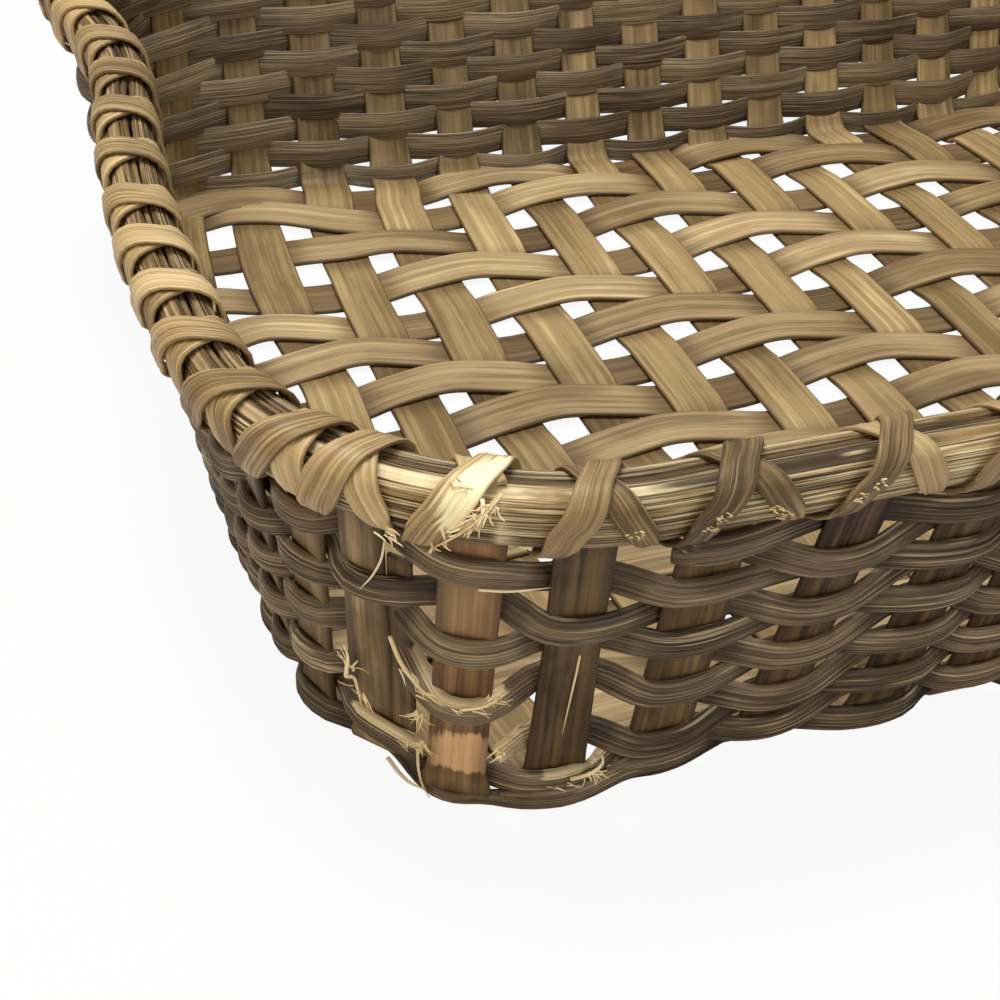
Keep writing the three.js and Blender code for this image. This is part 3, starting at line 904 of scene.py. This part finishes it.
# Painted shade on the hoops' lower half, and along their tops on the left in the hollows between the
# lashing's turns.
hoop_low_shade = 0.42
left_top_shade = 0.6
hoop_seam = ring_places[24]
rim_places = np.arange(hoop_seam + 1.0, hoop_seam + ring_length - 1.0, hoop_step)
# Painted shade in the hoops' grooves and, darker, on their flat backs, which face each other across the
# hollow between the hoops.
hoop_groove_shade = np.where(hoop_section[:, 1] < -0.3, 0.9, grooves(hoop_section[:, 0], hoop_ribs, 0.4))
on_left = at_stakes([0] * 44 + [1] * 15 + [0.5], rim_places)
# The outer hoop is rubbed bare at one spot beside the corner stake.
rubbed_at = 0.26
rubbed = 0.42 * (1 - ramp(away_from(rubbed_at, rim_places), 1.0, 3.0))
for name, way, strand in (("rim_outer_hoop", 1, 61.0), ("rim_inner_hoop", -1, 62.0)):
    centre, outward = wall_surface(rim_places, hoop_middle, way * (hoop_in + hoop_thickness / 2))
    upward = way * hoop_section[:, 0]
    shade = hoop_groove_shade + hoop_low_shade * smooth_step(0.1 - upward)
    shade = shade + on_left[:, None] * left_top_shade * ramp(upward, 0.35, 0.5)
    strip = strip_mesh(centre, way * outward, hoop_height / 2 + wander(rim_places, *hoop_unevenness),
                       hoop_thickness, hoop_section, strand, wear=rubbed * (way > 0),
                       shade=np.clip(shade, 0, 1))
    make_piece("half_round_" + name, [strip], hoop_reed, name)
filler_reed = reed_material("filler_reed", ((52, 37, 20), (98, 78, 48), (150, 126, 84)), old_wall,
                            (214, 194, 152), open_grain=0.5, bump=0.7)
filler_thickness = 0.9
filler_sway = (26.0, 0.25)
filler_lift = (34.0, 0.45)
strips = []
# The two strands sit low in the hollow between the hoops, with painted shade all over.
for out, z, half_width, strand in ((-0.45, 92.9, 0.55, 63.0), (0.5, 92.5, 0.5, 64.0)):
    place_out = out + wander(rim_places, *filler_sway)
    centre, outward = wall_surface(rim_places, z + wander(rim_places, *filler_lift), place_out)
    strips.append(strip_mesh(centre, straight_up, half_width, filler_thickness, flat_section, strand,
                             shade=0.3))
make_piece("filler_strip", strips, filler_reed, "rim_filler")

# Lashing: two strands of flat reed wound round the rim in opposite ways. Each goes under the
# rim in the gap between two stakes and over it at a stake, so they cross there in a peak.
lash_reed = reed_material("lash_reed", ((104, 80, 44), (178, 151, 104), (232, 210, 162)),
                          ((72, 54, 31), (120, 97, 62), (172, 148, 108)), (242, 230, 184),
                          fibre_width=0.6, fibres=0.3, streaks=0.2, stains=0.24, pale=0.14,
                          open_grain=0.3, gloss=0.2, bump=0.8)
lash_thickness = 1.0
lash_step = 1.5
lash_clear = 0.4
upper_clear = 0.25
crossing_clear = 0.85
lash_lift = (21.0, 0.08)
lash_unevenness = (30.0, 0.25)
narrower_under = 1.5
torn_wear = 0.8
# Painted shade on the lashing where it runs under the rim.
under_rim_share = 0.07
lash_underside_shade = 0.6
# The lashing is darker along its edges.
lash_edge_darkening = 0.35
lash_section = np.array([
    (-1.0, -0.2), (-0.99, 0.2), (-0.93, 0.42), (-0.75, 0.5), (-0.55, 0.36), (-0.36, 0.5), (-0.18, 0.38),
    (0.0, 0.52), (0.18, 0.38), (0.36, 0.5), (0.55, 0.36), (0.75, 0.5), (0.93, 0.42), (0.99, 0.2),
    (1.0, -0.2), (0.92, -0.5), (0.0, -0.5), (-0.92, -0.5)])
# How old and dark the lashing is at each stake: darkest on the front, palest on the left.
lash_weather = np.array([0.1, 0.8, 0.85, 0.8, 0.85] + [0.8] * 10 + [0.45] * 30 + [0.1] * 15)
lash_widths = np.array([6.6] + [5.9] * 14 + [6.6] * 30 + [7.3] * 14 + [6.9])

# The outside of the two hoops, as a closed line that starts in the middle of the underside, runs
# up the outer face and over the top, and comes back down the inner face.
turn_angles = np.radians(np.linspace(-90, 270, 1441))
corner_power = 0.62


def squared(wave):
    """Swells a sine or cosine, so that a circle becomes a rounded square."""
    return np.sign(wave) * np.abs(wave) ** corner_power


def girth_turn(line):
    """The step from point to point of the closed line, smoothed over its seam."""
    return smoothed(np.gradient(np.concatenate([line[-5:-1], line, line[1:5]])), 6)[4:-4]


line_out = (hoop_in + hoop_thickness) * squared(np.cos(turn_angles))
line_up = hoop_height / 2 * squared(np.sin(turn_angles))
line_length = np.concatenate([[0.0], np.cumsum(np.hypot(np.diff(line_out), np.diff(line_up)))])
girth = line_length[-1]
girth_places = np.linspace(0, girth, 161)
girth_out = np.interp(girth_places, line_length, line_out)
girth_up = np.interp(girth_places, line_length, line_up)
turn_out = girth_turn(girth_out)
turn_up = girth_turn(girth_up)
turn_size = np.hypot(turn_out, turn_up)
away_out = turn_up / turn_size
away_up = -turn_out / turn_size


def wrapped_strip(places, runs, clear, half_width, strand, **paint):
    """Flat reed laid on the hoops: places along the rim and lengths run round them."""
    step_place, step_run = np.gradient(places), np.gradient(runs)
    step = np.hypot(step_place, step_run)
    over = lash_section[None, :, 0] * half_width[:, None]
    off = clear[:, None] + (0.5 + lash_section[None, :, 1]) * lash_thickness
    place = places[:, None] - over * (step_run / step)[:, None]
    run = np.mod(runs[:, None] + over * (step_place / step)[:, None], girth)
    out = np.interp(run, girth_places, girth_out) + off * np.interp(run, girth_places, away_out)
    up = np.interp(run, girth_places, girth_up) + off * np.interp(run, girth_places, away_up)
    points, _ = wall_surface(place.ravel(), (hoop_middle + up).ravel(), out.ravel())
    points = settled(points).reshape(len(places), -1, 3)
    share = np.mod(runs, girth) / girth
    # Painted shade where the strip runs under the rim.
    under = lash_underside_shade * ((share > 1 - under_rim_share) | (share < under_rim_share))
    # Darker along the strip's edges.
    edges = lash_edge_darkening * (np.abs(lash_section[:, 0]) > 0.95)
    return join_sections(points, np.cumsum(step), over, off, strand,
                         shade=np.clip(under[:, None] + edges, 0, 1), **paint)


def lash_strip(run_from, run_to, knots, layer, strand, bare, age=1.0):
    """One length of a strand, over the turns from one run to another. bare is the torn stretch."""
    runs = np.arange(run_from, run_to, lash_step)
    places = smoothed(np.interp(runs, *knots), 3)
    share = np.mod(runs / girth, 1)
    from_under = np.minimum(share, 1 - share) * girth
    from_crossing = np.minimum(np.abs(share - 0.5) * girth, from_under)
    raised = 1 - ramp(from_crossing, 7.5, 5)
    clear = lash_clear + layer * (upper_clear + crossing_clear * raised) + wander(runs, *lash_lift)
    under = 1 - ramp(from_under, 4.5, 5)
    half_width = at_stakes(lash_widths, places) / 2 - narrower_under * under
    half_width = half_width + wander(runs, *lash_unevenness)
    wear = smoothed(np.where((runs > bare[0]) & (runs < bare[1]), torn_wear, 0.0), 6)
    wear = wear[:, None] * np.clip(0.8 - 0.7 * lash_section[:, 0], 0, 1)
    return wrapped_strip(places, runs, clear, half_width, strand, wear=wear,
                         weather=age * at_stakes(lash_weather, places))


def gap_middle(k):
    """The place in the middle of the gap after a stake."""
    turn, index = divmod(k, stake_count)
    start = ring_places[index] + ring_width[index] / 2
    finish = ring_places[index + 1] - ring_width[(index + 1) % stake_count] / 2
    return (start + finish) / 2 + turn * ring_length


def strand_knots(way):
    """The lengths run at every half turn, and the places: in a gap, at a stake, and so on."""
    places = []
    for turn in range(stake_count + 1):
        stake = lash_start + turn if way > 0 else last_stake - turn
        gap = stake - 1 if way > 0 else stake
        places += [gap_middle(gap), ring_place(stake)]
    return np.arange(2 * stake_count + 1) / 2 * girth, places[:-1]


# At the corner stake the forward strand is torn on top, and the return strand has lost its leg.
lash_start = 26
last_stake = lash_start + stake_count - 1
strand_start, strand_end = 0.5, stake_count * girth - 0.5
corner_turn = stake_count - lash_start
torn_part = ((corner_turn + 0.28) * girth, (corner_turn + 0.60) * girth)
strip = lash_strip(strand_start, strand_end, strand_knots(1), 1, 71.0, torn_part)
make_piece("lashing_strand_forward", [strip], lash_reed, "lashing_forward")
corner_turn = last_stake - stake_count
broken_end = corner_turn * girth + 3.0
broken_start = (corner_turn + 0.5) * girth - 3.0
return_knots = strand_knots(-1)
return_age = 0.6
strips = [
    lash_strip(strand_start, broken_end, return_knots, 0, 72.0, (broken_end - 6, broken_end), return_age),
    lash_strip(broken_start, strand_end, return_knots, 0, 73.0, (broken_start, broken_start + 8), return_age)]
make_piece("lashing_strand_return", strips, lash_reed, "lashing_return")

# Torn fibres: thin pale slivers that have split off the weavers and the lashing at the worn
# corner. Each is still held by the strand that it came from.
bare_fibre = reed_material("bare_fibre", ((176, 146, 96), (220, 196, 146), (244, 230, 190)),
                           ((120, 96, 60), (166, 140, 98), (206, 182, 140)), (250, 240, 206),
                           streaks=0.5, stains=0.1, pale=0.4, open_grain=0.2, bump=0.5)
fibre_section = np.array([(-1.0, -0.2), (-0.6, 0.4), (0.0, 0.5), (0.6, 0.4), (1.0, -0.2), (0.5, -0.5),
                          (-0.5, -0.5)])
fibre_step = 0.8


def sliver(places, heights, outs, width, thickness, strand, weather=0.0):
    """A thin splinter of reed through points on the wall or just off it."""
    points, outward = wall_surface(places, heights, outs)
    length = run_along(points)
    even = np.linspace(0, length[-1], max(8, int(length[-1] / fibre_step)))
    taper = 1 - 0.85 * (even / length[-1]) ** 2.5
    return strip_mesh(smoothed(read_off(even, length, points), 5), unit(read_off(even, length, outward)),
                      width / 2 * taper, thickness * (0.4 + 0.6 * taper), fibre_section, strand,
                      weather=weather)


def torn_fibre(width, thickness, strand, way, weather=0.0):
    """A sliver through points given as stake number, height and distance outward."""
    way = np.array(way, float)
    places = np.array([ring_place(k) for k in way[:, 0]])
    return sliver(places, way[:, 1], way[:, 2], width, thickness, strand, weather)


def tuft(k, z, out, heading, count, length, spread, fine=1.0):
    """Short splinters that have lifted off one stretch of a strand, all about the same way."""
    slivers = []
    for _ in range(count):
        angle = np.arctan2(heading[1], heading[0]) + random.normal(0, 0.28)
        bend = random.normal(0, 1.1)
        reach = length * random.uniform(0.45, 1.0)
        share = np.linspace(0, 1, 9)
        turn = angle + bend * share
        across = np.concatenate([[0.0], np.cumsum(np.cos(turn[1:]))]) * reach / 8
        upward = np.concatenate([[0.0], np.cumsum(np.sin(turn[1:]))]) * reach / 8
        start = random.uniform(-spread, spread, 2)
        lift = random.uniform(0.3, 1.3)
        slivers.append(sliver(ring_place(k) + start[0] + across, z + 0.7 * start[1] + upward,
                              out - 0.5 + lift * share ** 1.5 + 0.3, fine * random.uniform(0.25, 0.55), 0.3,
                              random.uniform(100, 200)))
    return slivers


def torn_fibres(fibres, tufts):
    """All slivers of a piece: the long ones one by one, then the tufts."""
    slivers = [torn_fibre(*fibre) for fibre in fibres]
    for values in tufts:
        slivers += tuft(*values)
    return slivers


# A long fibre has its width, thickness and number, its way, and its age if it is weathered. A
# tuft has its stake, height and distance outward, its heading, how many slivers of what length
# there are, how far they spread, and how fine they are.
weaver_fibres = (
    (0.5, 0.35, 81.0, [(-0.70, 76, 3.2), (-0.70, 72, 4.6), (-0.78, 67, 5.2), (-0.92, 61, 4.6)]),
    (0.6, 0.4, 82.0, [(0.10, 69.0, 4.0), (0.34, 69.4, 4.4), (0.52, 70.2, 4.4), (0.68, 71.0, 4.6)]),
    (1.3, 0.5, 83.0, [(-1.30, 27, 3.2), (-1.22, 33, 4.0), (-1.16, 37, 4.4), (-1.22, 40, 4.4)]),
    (0.9, 0.5, 84.0, [(-1.24, 28, 3.4), (-1.10, 31, 4.2), (-1.04, 27, 4.6), (-1.02, 22, 4.2)]),
    (1.1, 0.6, 86.0, [(-0.74, 47, 1.6), (-0.60, 42.4, 3.4), (-0.36, 37.6, 4.6), (-0.14, 35.2, 4.9)]),
    (0.9, 0.5, 87.0, [(0.02, 34.6, 4.6), (0.22, 36.2, 4.9), (0.34, 38.6, 5.0), (0.40, 41.0, 4.8)]),
    (1.2, 0.6, 92.0, [(-0.80, 7.0, 3.0), (-0.68, 4.6, 3.2), (-0.52, 3.4, 3.4), (-0.32, 3.8, 3.2)], 0.8),
    (0.7, 0.5, 93.0, [(-0.44, 15, 2.0), (-0.42, 9, 2.6), (-0.36, 4, 2.8), (-0.26, 1.4, 3.0)]),
    (1.2, 0.5, 95.0, [(1.10, 8.6, 4.0), (1.28, 9.6, 4.4), (1.40, 12.4, 4.2), (1.36, 15.0, 3.8)]),
    (0.5, 0.35, 99.0, [(1.06, 47, 1.0), (1.05, 42, 1.3), (1.03, 33, 1.4), (1.01, 22, 1.4)]),
)
weaver_tufts = (
    (-0.55, 41.0, 4.0, (0.9, -0.5), 5, 4.0, 2.0, 0.8),
    (-0.34, 37.0, 4.7, (0.95, -0.3), 5, 3.4, 2.0, 0.8),
    (-0.10, 35.0, 4.9, (1.0, -0.1), 5, 3.2, 2.2, 0.8),
    (0.16, 35.6, 4.9, (1.0, 0.3), 5, 3.6, 1.8, 0.8),
    (0.32, 38.0, 4.7, (0.8, 0.7), 9, 4.2, 1.6, 0.9),
    (-1.20, 32.0, 3.8, (0.1, 1.0), 8, 6.0, 1.0),
    (-1.08, 26.0, 3.8, (0.3, -1.0), 6, 5.0, 1.0),
    (-0.43, 27.0, 2.2, (0.15, -1.0), 9, 6.0, 1.2),
    (-0.40, 18.0, 2.2, (0.1, -1.0), 9, 6.0, 1.2),
    (-0.62, 16.5, 3.2, (1.0, -0.4), 4, 3.0, 1.8, 0.8),
    (1.30, 9.0, 4.2, (0.5, -0.9), 10, 4.0, 2.0),
    (0.98, 8.6, 4.8, (1.0, -0.2), 4, 3.4, 2.4, 0.8),
    (0.44, 18.5, 2.2, (-0.8, -0.5), 6, 3.5, 1.2),
)
make_piece("torn_weaver_fibres", torn_fibres(weaver_fibres, weaver_tufts), bare_fibre)
lashing_fibres = (
    (1.0, 0.5, 101.0, [(0.20, 94.8, 5.4), (0.10, 92.2, 8.8), (-0.06, 87.0, 9.1), (-0.24, 81.8, 8.2)]),
    (0.8, 0.5, 103.0, [(0.06, 94.2, 6.8), (0.10, 92.4, 8.6), (0.06, 89.0, 9.2)]),
    (0.8, 0.5, 107.0, [(-0.22, 88.5, 7.6), (-0.18, 86.0, 8.0), (-0.14, 83.0, 8.2)]),
)
lashing_tufts = (
    (0.12, 93.4, 8.0, (-0.6, -0.8), 12, 3.0, 1.4, 0.7),
    (0.08, 91.4, 8.8, (-0.6, -0.8), 12, 3.0, 1.3, 0.7),
    (0.03, 89.4, 9.0, (-0.6, -0.8), 9, 2.6, 1.3, 0.7),
    (-0.03, 87.4, 9.0, (-0.6, -0.8), 5, 2.2, 1.3, 0.7),
    (-0.06, 95.0, 5.6, (-1.0, 0.3), 7, 3.2, 2.0),
    (-0.22, 82.6, 8.0, (0.1, -1.0), 6, 2.5, 1.2),
    (-0.62, 82.6, 8.0, (0.9, -0.3), 7, 3.0, 2.0),
)
# Small white flecks where the front lashing's skin has lifted: stake, height, distance outward.
fleck_places = ((1.78, 88.6, 8.6), (1.71, 86.2, 8.4), (2.15, 87.8, 8.0), (2.22, 86.0, 7.9),
                (1.20, 86.8, 8.0), (2.80, 90.0, 8.7), (2.70, 87.0, 8.5))
flecks = tuple((*place, (0.5, 0.6), 9, 0.8, 1.5, 0.6) for place in fleck_places)
make_piece("torn_lashing_fibres", torn_fibres(lashing_fibres, lashing_tufts + flecks), bare_fibre)

# A narrow extra splint stands in the gap beside the corner stake, inside the weavers. It is
# cut from the same flat reed as the base, and only the weavers hold it.
filling_half_width = 2.6
filling_thickness = 1.1
filling_heights = np.linspace(16, 68, 30)
filling_places = ring_place(-0.68) + wander(filling_heights, 30.0, 0.5)
centre, outward = wall_surface(filling_places, filling_heights, -1.2)
# It gets a little painted shade, standing behind the weavers.
strip = strip_mesh(centre, outward, filling_half_width, filling_thickness, flat_section, 110.0,
                   wear=0.15, shade=0.1, weather=0.75)
make_piece("corner_filling_splint", [strip], column_reed)

# The floor: a plain pale sheet that keeps the basket's shadow and looks nearly white.
floor_half = 6.0
floor_glow = 0.92


def shown_to_camera(nodes, links, share, lit, seen, output):
    """Shows the camera, by a share, another shader than the one that the light meets."""
    rays = nodes.new("ShaderNodeLightPath")
    portion = nodes.new("ShaderNodeMath")
    portion.operation = "MULTIPLY"
    portion.inputs[1].default_value = share
    links.new(rays.outputs["Is Camera Ray"], portion.inputs[0])
    blend = nodes.new("ShaderNodeMixShader")
    for source, socket in zip((portion, lit, seen), blend.inputs):
        links.new(source.outputs[0], socket)
    links.new(blend.outputs[0], nodes[output].inputs["Surface"])


floor_material = bpy.data.materials.new("pale_floor")
floor_material.use_nodes = True
nodes, links = floor_material.node_tree.nodes, floor_material.node_tree.links
shader = nodes["Principled BSDF"]
shader.inputs["Base Color"].default_value = (0.62, 0.61, 0.6, 1)
shader.inputs["Roughness"].default_value = 0.9
shown_to_camera(nodes, links, floor_glow, shader, nodes.new("ShaderNodeEmission"), "Material Output")
floor_mesh = bpy.data.meshes.new("floor")
corners = [(x * floor_half, y * floor_half, 0) for x, y in ((-1, -1), (1, -1), (1, 1), (-1, 1))]
floor_mesh.from_pydata(corners, [], [(0, 1, 2, 3)])
floor_mesh.materials.append(floor_material)
floor = bpy.data.objects.new("floor", floor_mesh)
bpy.context.scene.collection.objects.link(floor)

# Studio light: a large soft lamp overhead, weaker ones in front and at the left, and a pale
# world that the camera alone sees as nearly white.
world_light = 0.4
white_strength = 0.945
world = bpy.data.worlds.new("studio")
bpy.context.scene.world = world
world.use_nodes = True
nodes, links = world.node_tree.nodes, world.node_tree.links
background = nodes["Background"]
background.inputs["Color"].default_value = (1.0, 0.97, 0.92, 1)
background.inputs["Strength"].default_value = world_light
white = nodes.new("ShaderNodeBackground")
white.inputs["Color"].default_value = (1, 1, 1, 1)
white.inputs["Strength"].default_value = white_strength
shown_to_camera(nodes, links, 1.0, background, white, "World Output")


def placed(right, above, back, place):
    """Turns and places a lamp or the camera: its right, its top and its back, and its place."""
    matrix = np.eye(4)
    matrix[:3] = np.column_stack([right, above, back, place])
    return Matrix(matrix.tolist())


for name, place, aim, size, power, colour in (
    ("overhead", (-0.25, 0.15, 1.3), (0, 0, 0), 0.8, 21.0, (1, 1, 1)),
    ("front", (0.25, -1.3, 0.85), (0, 0, 0.05), 0.6, 4.6, (1, 1, 1)),
    ("left", (-1.2, -0.7, 0.5), (-0.1, 0, 0.05), 0.6, 4.0, (1.0, 0.78, 0.5)),
):
    lamp = bpy.data.lights.new(name, "AREA")
    lamp.shape = "DISK"
    lamp.size = size
    lamp.energy = power
    lamp.color = colour
    lamp_object = bpy.data.objects.new(name, lamp)
    bpy.context.scene.collection.objects.link(lamp_object)
    back = unit(np.array(place) - np.array(aim))
    side = unit(np.cross([0.0, 1.0, 0.001], back))
    lamp_object.matrix_world = placed(side, np.cross(back, side), back, place)

# The camera stands in front, left of the middle, and looks down on the front left corner.
camera_place = np.array([-0.2468, -0.3833, 0.2706])
camera_azimuth = np.radians(20.987)
camera_elevation = np.radians(36.733)
camera_roll = np.radians(2.92)
camera_data = bpy.data.cameras.new("camera")
camera_data.sensor_width = 36.0
camera_data.lens = 62.97
camera_data.clip_start = 0.01
camera = bpy.data.objects.new("camera", camera_data)
bpy.context.scene.collection.objects.link(camera)
forward = np.array([np.sin(camera_azimuth) * np.cos(camera_elevation),
                    np.cos(camera_azimuth) * np.cos(camera_elevation), -np.sin(camera_elevation)])
level = unit(np.cross(forward, straight_up))
upright = np.cross(level, forward)
right = level * np.cos(camera_roll) + upright * np.sin(camera_roll)
camera.matrix_world = placed(right, np.cross(right, forward), -forward, camera_place)
bpy.context.scene.camera = camera
bpy.context.scene.view_settings.view_transform = "Standard"
